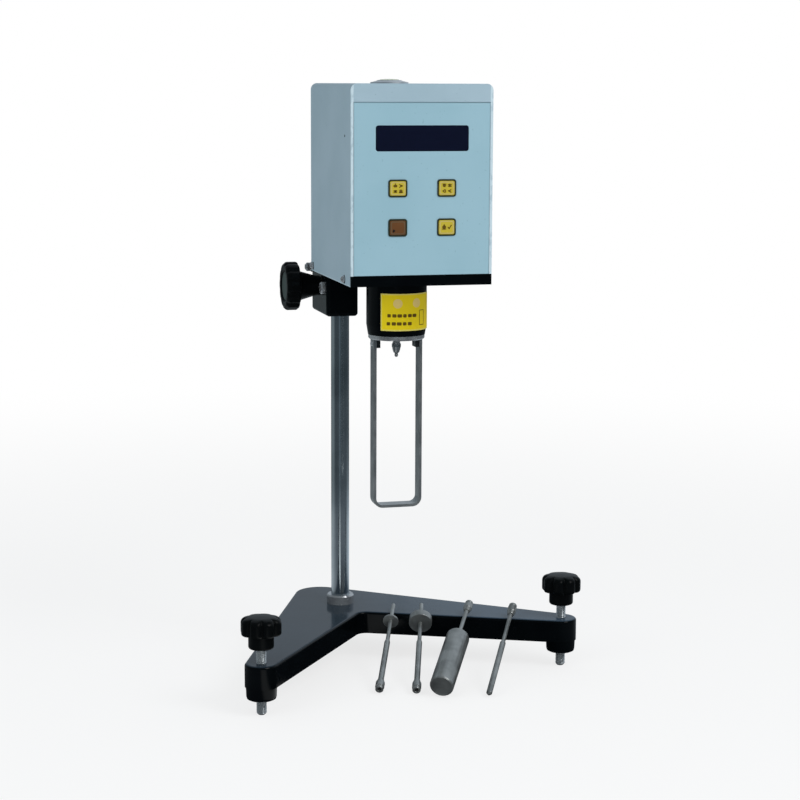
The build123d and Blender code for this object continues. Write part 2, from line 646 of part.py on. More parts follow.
def switch_frame():
    """The rocker's bezel and box in the rear wall."""
    frame = box(24.5, 46.5, HEAD_REAR, HEAD_REAR + 1.6, 402, 418)
    frame += box(26, 45, HEAD_REAR - 14, HEAD_REAR, 403.5, 416.5)
    frame -= box(28, 43, HEAD_REAR - 12, HEAD_REAR + 2, 405.2, 414.8)
    return frame - post(ROCKER_PIN_R + RUN, 404, 416, ROCKER_X, ROCKER_Y)


def power_rocker():
    """A two-faced rocker that turns on a pin through the bezel's middle."""
    outline = [(-6.5, 5.0), (0, 3.2), (6.5, 3.5), (5.6, -3.5), (-5.6, -3.5)]
    rocker = Pos(ROCKER_X, ROCKER_Y, 405.5) * extrude(make_face(Polyline(*outline, close=True)), 9)
    return rocker + post(ROCKER_PIN_R, 404.2, 415.8, ROCKER_X, ROCKER_Y)


def level_ring():
    """The bubble level's round base, with a sloped side."""
    low = HEAD_TOP
    return turned([(8, low), (15, low), (15, low + 0.8), (10.5, low + 1.9), (9, low + 2.6),
                   (8, low + 2.6)], HEAD_X, -55.3)


def level_vial():
    return turned([(0, HEAD_TOP), (8 - FIT, HEAD_TOP), (8 - FIT, HEAD_TOP + 2.6), (7, HEAD_TOP + 3.1),
                   (0, HEAD_TOP + 3.5)], HEAD_X, -55.3)


def spindle_body(number):
    """A loose spindle along +Z: from its threaded sleeve at 0 to the end that is dipped."""
    sleeve = [(1.55, 0), (3.2, 0), (3.6, 0.6), (3.6, 9), (2.6, 12), (0, 12), (0, 7), (1.55, 7)]
    thin, thick = 1.6, 2.3
    if number == 1:
        return turned(sleeve) + post(thin, 12, 48) + turned(
            [(0, 46), (2.4, 46), (9.42, 49), (9.42, 114), (8.6, 115), (0, 115)])
    if number == 4:
        return turned(sleeve) + post(thin, 12, 46) + turned(
            [(0, 45), (thin, 45), (thick, 47), (thick, 106), (0.8, 108), (0, 108)])
    shaft = [(0, 12), (thick, 12), (thick, 60), (thin, 63), (thin, 110), (0.8, 111), (0, 111)]
    disc_r, disc_thick = (9.35, 6.9) if number == 2 else (6.35, 1.7)
    return turned(sleeve) + turned(shaft) + post(disc_r, 88 - disc_thick / 2, 88 + disc_thick / 2)


def distance_to_arm(x, y, heading):
    """How far it is from x, y, along the heading, to the right arm's front edge in plan."""
    end_x, end_y = arm_end(1)
    span = hypot(end_x, end_y + CROTCH_OFFSET)
    along_x, along_y = end_x / span, (end_y + CROTCH_OFFSET) / span
    taper = (FOOT_BOSS_R - CROTCH_R) / span
    across = sqrt(1 - taper**2)
    out_x, out_y = across * along_y - taper * along_x, -across * along_x - taper * along_y
    reach = -CROTCH_OFFSET * out_y + CROTCH_R
    yaw = radians(BASE_YAW)
    out_x, out_y = out_x * cos(yaw) - out_y * sin(yaw), out_x * sin(yaw) + out_y * cos(yaw)
    turn = radians(heading)
    return (reach - out_x * x - out_y * y) / (out_x * cos(turn) + out_y * sin(turn))


def leaning_spindle(number, x, y, height, heading, resting_r, dipped_end_down):
    """The spindle with its lower end at x, y, height, tilted until its stretch of radius
    resting_r lies on the right arm's front edge."""
    length = {1: 115, 2: 111, 3: 111, 4: 108}[number]
    body = spindle_body(number)
    if dipped_end_down:
        body = Pos(0, 0, length) * Rot(180, 0, 0) * body
    away, rise = distance_to_arm(x, y, heading), BASE_TOP - height
    tilt = degrees(atan2(rise, away)) + degrees((resting_r + GAP) / hypot(away, rise))
    return Pos(x, y, height) * Rot(0, 0, heading) * Rot(0, 90 - tilt, 0) * body


parts = {
    "base_casting": base_casting(),
    "column": column(),
    "rack": rack(),
    "column_collar": column_collar(),
    "column_bolt": column_bolt(),
    "column_cap": column_cap(),
    "rear_foot": rear_foot(),
    "levelling_stud_left": levelling_stud(-1),
    "levelling_stud_right": levelling_stud(1),
    "levelling_knob_left": levelling_knob(-1),
    "levelling_knob_right": levelling_knob(1),
    "carriage_block": carriage_block(),
    "pinion_bushes": pinion_bushes(),
    "brake_pad": brake_pad(),
    "carriage_screws": carriage_screws(),
    "lift_pinion": lift_pinion(),
    "lift_knob": lift_knob(),
    "lift_knob_cap": lift_knob_cap(),
    "tension_screw": tension_screw(),
    "lock_screw": lock_screw(),
    "base_plate": base_plate(),
    "housing_shell": housing_shell(),
    "housing_screws": housing_screws(),
    "rear_bracket": rear_bracket(),
    "neck_collar": neck_collar(),
    "guard_ring": guard_ring(),
    "guard_frame": guard_frame(),
    "guard_screws": guard_screws(),
    "lower_bearing": lower_bearing(),
    "spindle_shaft": spindle_shaft(),
    "spindle_coupling": spindle_coupling(),
    "output_disc": output_disc(),
    "hairspring": hairspring(),
    "drive_hub": drive_hub(),
    "drive_gear": drive_gear(),
    "motor_pinion": motor_pinion(),
    "drive_motor": drive_motor(),
    "mechanism_plate": mechanism_plate(),
    "plate_posts": plate_posts(),
    "disc_sensors": disc_sensors(),
    "front_panel": front_panel(),
    "display_window": display_window(),
    "display_module": display_module(),
    "main_board": main_board(),
    "key_frames": key_frames(),
    "key_switches": key_switches(),
    "power_module": power_module(),
    "power_inlet": power_inlet(),
    "switch_frame": switch_frame(),
    "power_rocker": power_rocker(),
    "level_ring": level_ring(),
    "level_vial": level_vial(),
    "spindle_1": leaning_spindle(1, 45.7, -154.6, 9.4, 62.5, 3.6, True),
    "spindle_2": leaning_spindle(2, 29.0, -142.4, 3.9, 73.1, 1.6, False),
    "spindle_3": leaning_spindle(3, 1.4, -133.4, 3.9, 69.8, 1.6, False),
    "spindle_4": leaning_spindle(4, 81.8, -161.7, 2.6, 61.8, 3.6, True),
}
key_names = ["key_upper_left", "key_upper_right", "key_lower_left", "key_lower_right"]
for name, place in zip(key_names, key_places()):
    parts[name] = key_cap(*place)

os.makedirs("parts", exist_ok=True)
to_frame = Pos(COLUMN_X, COLUMN_Y, 0)
for name, shape in parts.items():
    export_step(to_frame * shape, f"parts/{name}.step")
print(len(parts), "nodes written")
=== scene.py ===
import bpy
import json
import numpy as np
from math import cos, radians, sin, tau
from mathutils import Matrix, Vector


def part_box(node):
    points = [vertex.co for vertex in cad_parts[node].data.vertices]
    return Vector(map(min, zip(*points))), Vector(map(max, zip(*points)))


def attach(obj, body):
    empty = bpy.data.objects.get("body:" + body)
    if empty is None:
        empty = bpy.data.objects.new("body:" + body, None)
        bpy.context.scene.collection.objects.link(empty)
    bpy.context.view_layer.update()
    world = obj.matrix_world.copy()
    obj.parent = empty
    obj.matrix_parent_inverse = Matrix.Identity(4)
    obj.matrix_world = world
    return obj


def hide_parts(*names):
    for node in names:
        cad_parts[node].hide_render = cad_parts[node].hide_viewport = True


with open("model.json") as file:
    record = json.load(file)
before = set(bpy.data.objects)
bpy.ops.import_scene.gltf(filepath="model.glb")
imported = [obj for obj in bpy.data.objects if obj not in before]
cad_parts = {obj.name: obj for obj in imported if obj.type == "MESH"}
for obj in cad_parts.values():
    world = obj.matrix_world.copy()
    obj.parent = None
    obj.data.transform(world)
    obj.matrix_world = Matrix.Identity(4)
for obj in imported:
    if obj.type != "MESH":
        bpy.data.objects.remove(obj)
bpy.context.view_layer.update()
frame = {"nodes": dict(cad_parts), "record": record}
mm = 0.001
print("frame loaded,", len(frame["nodes"]), "nodes")


class Wire:
    # an output of a finish's node tree; arithmetic on it becomes Math nodes
    def __init__(self, owner, socket):
        self.owner, self.socket = owner, socket

    def __add__(self, other):
        return self.owner.calc("ADD", self, other)

    def __sub__(self, other):
        return self.owner.calc("SUBTRACT", self, other)

    def __rsub__(self, other):
        return self.owner.calc("SUBTRACT", other, self)

    def __mul__(self, other):
        return self.owner.calc("MULTIPLY", self, other)

    def __abs__(self):
        return self.owner.calc("ABSOLUTE", self)

    __radd__, __rmul__ = __add__, __mul__


class Finish:
    # the node tree of a material, or of the world
    def __init__(self, name, world=False):
        self.holder = bpy.data.worlds.new(name) if world else bpy.data.materials.new(name)
        self.holder.use_nodes = True
        self.tree = self.holder.node_tree
        self.tree.nodes.clear()
        self.place = self.add("ShaderNodeTexCoord", {}, {}, "Generated" if world else "Object")

    def add(self, kind, settings, sockets, output=0):
        node = self.tree.nodes.new(kind)
        for key, value in settings.items():
            setattr(node, key, value)
        for key, value in sockets.items():
            if isinstance(value, Wire):
                self.tree.links.new(value.socket, node.inputs[key])
            else:
                node.inputs[key].default_value = value
        return Wire(self, node.outputs[output]) if len(node.outputs) else None

    def calc(self, operation, *values):
        return self.add("ShaderNodeMath", {"operation": operation}, dict(enumerate(values)))

    def axis(self, letter):
        return self.add("ShaderNodeSeparateXYZ", {}, {0: self.place}, letter)

    def facing(self, letter):
        # how far the surface faces along the axis, -1 to 1
        normal = self.add("ShaderNodeNewGeometry", {}, {}, "Normal")
        return self.add("ShaderNodeSeparateXYZ", {}, {0: normal}, letter)

    def noise(self, perMm, detail=3.0, stretch=(1, 1, 1)):
        # cloudy noise with perMm features to the millimetre, drawn out by stretch
        spread = self.add("ShaderNodeMapping", {}, {"Vector": self.place, "Scale": stretch})
        return self.add("ShaderNodeTexNoise", {}, {"Vector": spread, "Scale": perMm / mm, "Detail": detail})

    def mix(self, share, first, second):
        return self.add("ShaderNodeMix", {"data_type": "RGBA"}, {0: share, 6: first, 7: second}, 2)

    def step(self, value, low, high):
        # 0 below low, 1 above high, softly in between
        return self.add("ShaderNodeMapRange", {"interpolation_type": "SMOOTHSTEP"},
                        {0: value, 1: low, 2: high})

    def near(self, value, target, reach, soft):
        # 1 within reach of the target, falling to 0 over soft
        return 1 - self.step(abs(value - target), reach, reach + soft)

    def bump(self, height, depthMm, strength=1.0):
        return self.add("ShaderNodeBump", {}, {"Height": height, "Distance": depthMm * mm,
                                               "Strength": strength})

    def close(self, colour, rough, **more):
        sockets = {"Base Color": colour, "Roughness": rough}
        sockets.update({key.replace("_", " "): value for key, value in more.items()})
        shader = self.add("ShaderNodeBsdfPrincipled", {}, sockets)
        self.add("ShaderNodeOutputMaterial", {}, {"Surface": shader})
        return self.holder


def shade(red, green, blue, alpha=1.0):
    # a colour as read off a screen, 0 to 255, in linear light
    part = np.array([red, green, blue]) / 255.0
    linear = np.where(part <= 0.04045, part / 12.92, ((part + 0.055) / 1.055) ** 2.4)
    return (*(float(value) for value in linear), alpha)


def enamel(name, look):
    # cast or machined metal under thick enamel: faint waves, and on what faces up a pale film that is partly
    # dust and partly painted sheen, a painted reflection that thickens towards +X
    f = Finish(name)
    waves, grit = f.noise(look["wavesPerMm"], 2.0), f.noise(1.4, 3.0)
    colour = f.mix(f.step(f.noise(0.03, 3.0), 0.35, 0.7), look["dark"], look["light"])
    # painted sheen: faces that point up, more so towards +X, are mixed towards a pale blue-grey that is
    # partly dust and partly painted reflection
    dustAndSheenFilm = f.step(f.facing("Z"), 0.6, 0.98) * (0.4 + 0.25 * f.noise(0.02, 4.0)
                                               + 0.9 * f.step(f.axis("X"), -0.05, 0.08))
    colour = f.mix(dustAndSheenFilm * look["dustAndSheen"], colour, look["dustAndSheenColour"])
    rough = look["rough"] + 0.06 * f.step(waves, 0.35, 0.75) + 0.03 * grit
    relief = f.bump(waves, look["waveDepthMm"], 0.6)
    return f.close(colour, rough, Specular_IOR_Level=look["gloss"], Normal=relief)


def paintedSheet(name, look):
    # stoved paint on sheet: fine orange peel, faint cloudiness and a few dark specks
    f = Finish(name)
    peel, cloud = f.noise(1.1, 2.0), f.noise(0.018, 4.0)
    colour = f.mix(f.step(cloud, 0.3, 0.72), look["dark"], look["light"])
    speck = f.step(f.noise(0.55, 1.0), 0.735, 0.76)
    colour = f.mix(speck * 0.35, colour, look["speck"])
    # then, per piece, bare worn edges on the cover and a painted shadow line in the panel's joint
    if "wearAndShade" in look:
        colour = look["wearAndShade"](f, colour)
    rough = look["rough"] + 0.10 * peel
    return f.close(colour, rough, Specular_IOR_Level=0.35, Normal=f.bump(peel, 0.03, 0.5))


def brightMetal(name, look):
    # bare or plated metal: colour drifts slightly, and fine lines run along the drawn-out axis
    f = Finish(name)
    lines = f.noise(look["linesPerMm"], 3.0, look["stretch"])
    cloud = f.noise(look.get("cloudPerMm", 0.08), 4.0)
    colour = f.mix(f.step(cloud, 0.3, 0.7), look["dark"], look["light"])
    # then a painted shade band where the lugs lie under the guard ring
    if "wearAndShade" in look:
        colour = look["wearAndShade"](f, colour)
    rough = look["rough"] + look["roughDrift"] * f.step(cloud, 0.35, 0.7) + 0.08 * lines
    relief = f.bump(lines, look["lineDepthMm"], 0.5)
    return f.close(colour, rough, Metallic=look.get("metal", 1.0), Normal=relief)


def moulded(name, look):
    # moulded plastic or rubber with a fine grain
    f = Finish(name)
    grain, cloud = f.noise(look.get("grainPerMm", 2.2), 2.0), f.noise(0.1, 3.0)
    colour = f.mix(cloud, look["dark"], look["light"])
    rough = look["rough"] + 0.12 * grain
    return f.close(colour, rough, Specular_IOR_Level=look.get("gloss", 0.4),
                   Normal=f.bump(grain, look.get("grainDepthMm", 0.02), 0.6))


def clear(name, look):
    f = Finish(name)
    smear = f.noise(0.12, 3.0)
    return f.close(look["colour"], look["rough"] + 0.05 * smear, IOR=1.45, Alpha=look["alpha"],
                   Specular_IOR_Level=0.6)


coverLow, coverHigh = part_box("housing_shell")
panelLow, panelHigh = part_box("front_panel")
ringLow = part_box("guard_ring")[0]
# all in mm: how deep each kind of wear and each painted shade reaches from its edge, and over what it fades
wearAndShadeLook = {"front": (0.6, 1.2), "side": (2.2, 1.9), "foot": (0.5, 1.1), "footShare": 0.7,
            "seamSide": (0.7, 0.3), "seamTop": (0.8, 0.4), "lugMiddle": 3.2, "lugReach": 3.0, "lugSoft": 0.5}


def wornEdges(f, colour):
    # the cut edges of the side sheets at the front are bare and chipped, and so are their lower edges
    x, y, z = f.axis("X"), f.axis("Y"), f.axis("Z")
    middle, half = (coverLow.x + coverHigh.x) / 2, (coverHigh.x - coverLow.x) / 2
    chips = f.step(f.noise(0.35, 3.0, (1, 1, 0.5)), 0.36, 0.5)
    front = 1 - f.step(y, *(coverLow.y + reach * mm for reach in wearAndShadeLook["front"]))
    edge = f.step(abs(x - middle), *(half - reach * mm for reach in wearAndShadeLook["side"])) * front
    foot = 1 - f.step(z, *(coverLow.z + reach * mm for reach in wearAndShadeLook["foot"]))
    bare = f.calc("MAXIMUM", edge, foot * wearAndShadeLook["footShare"])
    return f.mix(bare * (0.35 + 0.65 * chips), colour, shade(190, 208, 216))


def seamShadow(f, colour):
    # painted shadow in the narrow joint between the panel and the cover: a dark line along the panel's sides
    # and top
    middle, half = (panelLow.x + panelHigh.x) / 2, (panelHigh.x - panelLow.x) / 2
    side = f.step(abs(f.axis("X") - middle), *(half - reach * mm for reach in wearAndShadeLook["seamSide"]))
    top = f.step(f.axis("Z"), *(panelHigh.z - reach * mm for reach in wearAndShadeLook["seamTop"]))
    return f.mix(f.calc("MAXIMUM", side * 0.35, top) * 0.55, colour, shade(70, 92, 104))


def lugShade(f, colour):
    # the lugs under the guard ring lie in its shade
    band = f.near(f.axis("Z"), ringLow.z + wearAndShadeLook["lugMiddle"] * mm, wearAndShadeLook["lugReach"] * mm,
                  wearAndShadeLook["lugSoft"] * mm)
    return f.mix(band, colour, shade(58, 62, 64))


finishes = {
    # the enamel's pale film on top is partly dust and partly painted sheen
    "black_enamel": enamel("black_enamel", {
        "dark": shade(3, 5, 7), "light": shade(5, 8, 10), "dustAndSheenColour": shade(70, 88, 105), "dustAndSheen": 0.55,
        "rough": 0.09, "gloss": 0.12, "wavesPerMm": 0.1, "waveDepthMm": 0.08}),
    "cover_paint": paintedSheet("cover_paint", {
        "dark": shade(152, 175, 187), "light": shade(159, 181, 193), "speck": shade(104, 120, 130),
        "rough": 0.42, "wearAndShade": wornEdges}),
    # the panel's paint carries a painted shadow line along its joint with the cover
    "panel_paint": paintedSheet("panel_paint", {
        "dark": shade(142, 177, 190), "light": shade(147, 181, 194), "speck": shade(110, 140, 152),
        "rough": 0.45, "wearAndShade": seamShadow}),
    "column_steel": brightMetal("column_steel", {
        "dark": shade(176, 186, 192), "light": shade(216, 224, 230), "rough": 0.10, "roughDrift": 0.06,
        "linesPerMm": 0.9, "stretch": (1, 1, 0.02), "lineDepthMm": 0.02, "cloudPerMm": 0.02}),
    # bright steel carries a painted shade band on the lugs under the guard ring
    "bright_steel": brightMetal("bright_steel", {
        "dark": shade(176, 178, 182), "light": shade(214, 217, 219), "rough": 0.16, "roughDrift": 0.08,
        "linesPerMm": 1.2, "stretch": (1, 1, 1), "lineDepthMm": 0.01, "metal": 0.8,
        "wearAndShade": lugShade}),
    "screw_steel": brightMetal("screw_steel", {
        "dark": shade(176, 182, 186), "light": shade(222, 226, 228), "rough": 0.2, "roughDrift": 0.1,
        "linesPerMm": 1.5, "stretch": (1, 1, 1), "lineDepthMm": 0.02, "metal": 0.8}),
    "guard_steel": brightMetal("guard_steel", {
        "dark": shade(182, 185, 185), "light": shade(208, 210, 210), "rough": 0.40, "roughDrift": 0.06,
        "linesPerMm": 2.0, "stretch": (1, 1, 0.05), "lineDepthMm": 0.03}),
    "shaft_steel": brightMetal("shaft_steel", {
        "dark": shade(186, 189, 190), "light": shade(216, 218, 220), "rough": 0.2, "roughDrift": 0.06,
        "linesPerMm": 2.0, "stretch": (1, 1, 4), "lineDepthMm": 0.01}),
    "spindle_steel": brightMetal("spindle_steel", {
        "dark": shade(146, 149, 148), "light": shade(178, 181, 180), "rough": 0.26, "roughDrift": 0.08,
        "linesPerMm": 1.6, "stretch": (1, 1, 1), "lineDepthMm": 0.015, "metal": 0.86}),
    "spring_steel": brightMetal("spring_steel", {
        "dark": shade(70, 82, 110), "light": shade(112, 118, 134), "rough": 0.25, "roughDrift": 0.05,
        "linesPerMm": 2.0, "stretch": (1, 1, 1), "lineDepthMm": 0.01}),
    "plain_aluminium": brightMetal("plain_aluminium", {
        "dark": shade(182, 184, 186), "light": shade(206, 207, 208), "rough": 0.34, "roughDrift": 0.06,
        "linesPerMm": 1.2, "stretch": (0.1, 1, 1), "lineDepthMm": 0.02}),
    "motor_can": brightMetal("motor_can", {
        "dark": shade(140, 142, 144), "light": shade(172, 174, 175), "rough": 0.3, "roughDrift": 0.08,
        "linesPerMm": 1.0, "stretch": (1, 1, 0.2), "lineDepthMm": 0.02}),
    "brass": brightMetal("brass", {
        "dark": shade(176, 140, 74), "light": shade(212, 178, 104), "rough": 0.24, "roughDrift": 0.08,
        "linesPerMm": 1.5, "stretch": (1, 1, 1), "lineDepthMm": 0.01}),
    "level_metal": brightMetal("level_metal", {
        "dark": shade(206, 210, 214), "light": shade(236, 238, 240), "rough": 0.3, "roughDrift": 0.05,
        "linesPerMm": 1.5, "stretch": (1, 1, 6), "lineDepthMm": 0.01}),
    "black_plastic": moulded("black_plastic", {
        "dark": shade(3, 5, 6), "light": shade(7, 9, 10), "rough": 0.26, "gloss": 0.09}),
    "rubber_foot": moulded("rubber_foot", {
        "dark": shade(18, 18, 18), "light": shade(30, 30, 29), "rough": 0.7, "gloss": 0.25}),
    "circuit_board": moulded("circuit_board", {
        "dark": shade(14, 64, 36), "light": shade(24, 88, 48), "rough": 0.35}),
    "dark_plastic": moulded("dark_plastic", {
        "dark": shade(16, 17, 18), "light": shade(26, 27, 28), "rough": 0.48}),
    "display_glass": moulded("display_glass", {
        "dark": shade(8, 12, 32), "light": shade(10, 15, 36), "rough": 0.08, "gloss": 0.4,
        "grainDepthMm": 0.002}),
    "display_module": moulded("display_module", {
        "dark": shade(24, 28, 26), "light": shade(34, 38, 35), "rough": 0.5}),
    "key_frame": moulded("key_frame", {
        "dark": shade(30, 40, 26), "light": shade(44, 54, 34), "rough": 0.42}),
    "key_yellow": moulded("key_yellow", {
        "dark": shade(180, 160, 38), "light": shade(194, 174, 48), "rough": 0.38}),
    "key_brown": moulded("key_brown", {
        "dark": shade(92, 56, 20), "light": shade(106, 64, 24), "rough": 0.4}),
    "level_glass": clear("level_glass", {"colour": shade(196, 214, 170), "rough": 0.04, "alpha": 0.55}),
}
printed = {
    "label_yellow": moulded("label_yellow", {
        "dark": shade(230, 203, 8), "light": shade(236, 209, 16), "rough": 0.5, "gloss": 0.2,
        "grainDepthMm": 0.01}),
    "label_border": moulded("label_border", {
        "dark": shade(222, 206, 96), "light": shade(228, 212, 104), "rough": 0.4}),
    "legend_ink": moulded("legend_ink", {
        "dark": shade(88, 66, 8), "light": shade(110, 86, 14), "rough": 0.6, "gloss": 0.2}),
    "pale_ink": moulded("pale_ink", {
        "dark": shade(226, 196, 112), "light": shade(232, 204, 122), "rough": 0.5}),
    "knob_face": moulded("knob_face", {
        "dark": shade(36, 50, 47), "light": shade(52, 68, 64), "rough": 0.3, "gloss": 0.4}),
    "key_border": moulded("key_border", {
        "dark": shade(180, 162, 92), "light": shade(192, 174, 106), "rough": 0.4}),
    "brown_border": moulded("brown_border", {
        "dark": shade(84, 66, 44), "light": shade(104, 84, 58), "rough": 0.4}),
    "dark_mark": moulded("dark_mark", {
        "dark": shade(22, 26, 26), "light": shade(34, 38, 38), "rough": 0.5, "gloss": 0.2}),
    "bubble": moulded("bubble", {
        "dark": shade(226, 234, 214), "light": shade(236, 242, 226), "rough": 0.1, "gloss": 0.6}),
}
for entry in frame["record"]["subparts"]:
    carrier = frame["nodes"][entry["node"]]
    carrier.data.materials.clear()
    carrier.data.materials.append(finishes[entry["material_slot"]])
print("finishes made")


def publish(name, points, faces, look, body, replaced=(), slotName=None, soft=True):
    # points as one array, faces as tuples; the piece rides on its body
    mesh = bpy.data.meshes.new(name)
    mesh.from_pydata(points, [], faces)
    mesh.materials.append(look)
    mesh.polygons.foreach_set("use_smooth", np.full(len(mesh.polygons), soft))
    mesh.update()
    piece = bpy.data.objects.new(name, mesh)
    bpy.context.scene.collection.objects.link(piece)
    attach(piece, body)
    if replaced:
        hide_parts(*replaced)


def gridFaces(rows, columns):
    # quads between neighbouring rows; the columns close on themselves
    i = np.arange(rows - 1)[:, None] * columns
    j = np.arange(columns)[None, :]
    following, above = (j + 1) % columns, i + columns
    quads = np.stack([i + j, i + following, above + following, above + j], -1)
    return [tuple(quad) for quad in quads.reshape(-1, 4).tolist()]


def closeEnds(rings):
    # rings as (rows, columns, 3); both ends are closed by one flat face
    rows, columns = rings.shape[:2]
    faces = gridFaces(rows, columns)
    faces.append(tuple(range(columns))[::-1])
    faces.append(tuple(range((rows - 1) * columns, rows * columns)))
    return rings.reshape(-1, 3), faces


def eased(corners, rounds, steps=5):
    # each corner becomes an arc: (1-t)^2 start + 2t(1-t) corner + t^2 end, where start and end lie
    # at the rounding distance back along the two sides
    corners = np.asarray(corners, float)
    reach = np.broadcast_to(np.asarray(rounds, float), (len(corners),))[:, None].copy()
    reach[[0, -1]] = 0
    back, ahead = np.roll(corners, 1, 0) - corners, np.roll(corners, -1, 0) - corners
    backLength = np.linalg.norm(back, axis=1, keepdims=True)
    aheadLength = np.linalg.norm(ahead, axis=1, keepdims=True)
    reach = np.minimum(reach, 0.49 * np.minimum(backLength, aheadLength))
    start, end = corners + back / backLength * reach, corners + ahead / aheadLength * reach
    t = np.linspace(0, 1, steps)[None, :, None]
    arc = (1 - t) ** 2 * start[:, None] + 2 * t * (1 - t) * corners[:, None] + t ** 2 * end[:, None]
    arc = arc.reshape(-1, 2)
    keep = np.linalg.norm(arc - np.roll(arc, 1, 0), axis=1) > 1e-6
    keep[0] = True
    return arc[keep]


def aim(direction):
    # the rotation that takes +Z to the direction
    return np.array(Vector(direction).to_track_quat("Z", "Y").to_matrix())


def turned(outline, foot, direction=(0, 0, 1), steps=64, swell=None):
    # revolves (radius, height) points in mm about an axis from foot along direction:
    # point = foot + R (r cos a, r sin a, h); swell(a, r, h) may change the radius
    outline = np.asarray(outline, float)
    angle = np.linspace(0, tau, steps, endpoint=False)[None, :]
    radius, height = outline[:, :1], outline[:, 1:]
    if swell:
        radius = swell(angle, radius, height)
    radius = np.maximum(radius + 0 * angle, 1e-4)
    rings = np.stack([radius * np.cos(angle), radius * np.sin(angle), height + 0 * angle], -1)
    return rings @ aim(direction).T * mm + np.asarray(foot, float)


def spot(node):
    # the middle of a CAD node's box
    low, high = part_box(node)
    return np.array((low + high) / 2)


def threadedRod(look):
    # radius = crest - depth * |2 frac(h / pitch - a / 2pi) - 1|, eased to the end chamfers
    height = np.linspace(0, look["length"], int(look["length"] / look["pitch"] * 8) + 1)[:, None]
    angle = np.linspace(0, tau, look["steps"], endpoint=False)[None, :]
    wave = np.abs(2 * ((height / look["pitch"] - angle / tau) % 1) - 1)
    radius = look["crest"] - look["depth"] * wave
    chamfer = np.minimum(height, look["length"] - height) + look["tip"]
    radius = np.minimum(radius, chamfer)
    return np.stack([radius * np.cos(angle), radius * np.sin(angle), height + 0 * angle], -1) * mm


levelling = {"crest": 3.98, "depth": 0.68, "pitch": 1.25, "length": 72.0, "steps": 40, "tip": 2.4}
starKnob = {
    "corners": [(4.05, 0), (8.8, 0), (9.7, 1.2), (9.7, 10.5), (14.8, 10.7), (15.8, 12.2), (15.8, 20.8),
                (14.0, 23.0), (9.6, 24.2), (0.05, 24.6)],
    "rounds": [0, 0.8, 0.8, 0.5, 1.0, 1.2, 1.6, 1.8, 3.0, 0],
    "lobes": 8, "lobeDepth": 2.85, "lobeTurn": 15.4, "hub": 9.8, "fadeIn": 5.0, "steps": 160,
}


def lobed(a, r, h):
    # scallops deepen from the hub to the rim: r - depth * share * (1 - |cos(n (a - turn) / 2)|)^1.5
    share = np.clip((r - starKnob["hub"]) / starKnob["fadeIn"], 0, 1)
    valley = (1 - np.abs(np.cos(starKnob["lobes"] * (a - radians(starKnob["lobeTurn"])) / 2))) ** 1.5
    return r - starKnob["lobeDepth"] * share * valley


for side in ("left", "right"):
    stud, knob = f"levelling_stud_{side}", f"levelling_knob_{side}"
    at = spot(stud)
    rings = threadedRod(levelling) + np.array([at[0], at[1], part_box(stud)[0].z])
    publish(f"threaded_stud_{side}", *closeEnds(rings), finishes["screw_steel"], f"{side}_foot",
            [stud], "screw_steel")
    foot = (at[0], at[1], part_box(knob)[0].z)
    rings = turned(eased(starKnob["corners"], starKnob["rounds"]), foot, steps=starKnob["steps"], swell=lobed)
    publish(f"star_knob_{side}", *closeEnds(rings), finishes["black_plastic"], f"{side}_foot_knob",
            [knob], "black_plastic")
print("levelling screws made")

liftLook = {"flutes": 12, "fluteDepth": 1.1, "fluteStart": 15.5, "fadeIn": 3.0, "rim": 11.6, "hub": 8.2,
            "cone": 12.5, "dish": 2.2}
liftLow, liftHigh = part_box("lift_knob")
liftMiddle = spot("lift_knob")
liftFoot = (liftHigh.x, liftMiddle[1], liftMiddle[2])
liftLength = (liftHigh.x - liftLow.x) / mm
stem = liftLength - liftLook["rim"]


def fluted(a, r, h):
    # rounded flutes cut into the rim only: r - depth * share * |sin(n a / 2)|^6
    share = np.clip((r - liftLook["fluteStart"]) / liftLook["fadeIn"], 0, 1)
    return r - liftLook["fluteDepth"] * share * np.abs(np.sin(liftLook["flutes"] * a / 2)) ** 6


corners = [(4.03, 0), (liftLook["hub"], 0), (liftLook["hub"], 4), (liftLook["cone"], stem), (18.7, stem),
           (19.8, stem + 1.2), (19.8, liftLength - 2.0), (17.8, liftLength), (13.4, liftLength),
           (12.2, liftLength - 1.9), (11.7, liftLength - liftLook["dish"]),
           (0.05, liftLength - liftLook["dish"])]
outline = eased(corners, [0, 0.5, 1.5, 0.8, 0.8, 0.8, 1.2, 0.8, 0.6, 0.3, 0.3, 0])
rings = turned(outline, liftFoot, (-1, 0, 0), 240, fluted)
publish("lift_handwheel", *closeEnds(rings), finishes["black_plastic"], "lift_wheel", ["lift_knob"],
        "black_plastic")
outline = eased([(11.6, 0), (11.6, 0.9), (10.4, 1.5), (9.2, 1.15), (0.05, 0.95)], [0, 0.3, 0.6, 0.6, 0])
capFoot = (liftLow.x + liftLook["dish"] * mm, liftMiddle[1], liftMiddle[2])
publish("lift_handwheel_cap", *closeEnds(turned(outline, capFoot, (-1, 0, 0), 96)), printed["knob_face"],
        "lift_wheel", ["lift_knob_cap"], "black_plastic")
print("lift knob made")


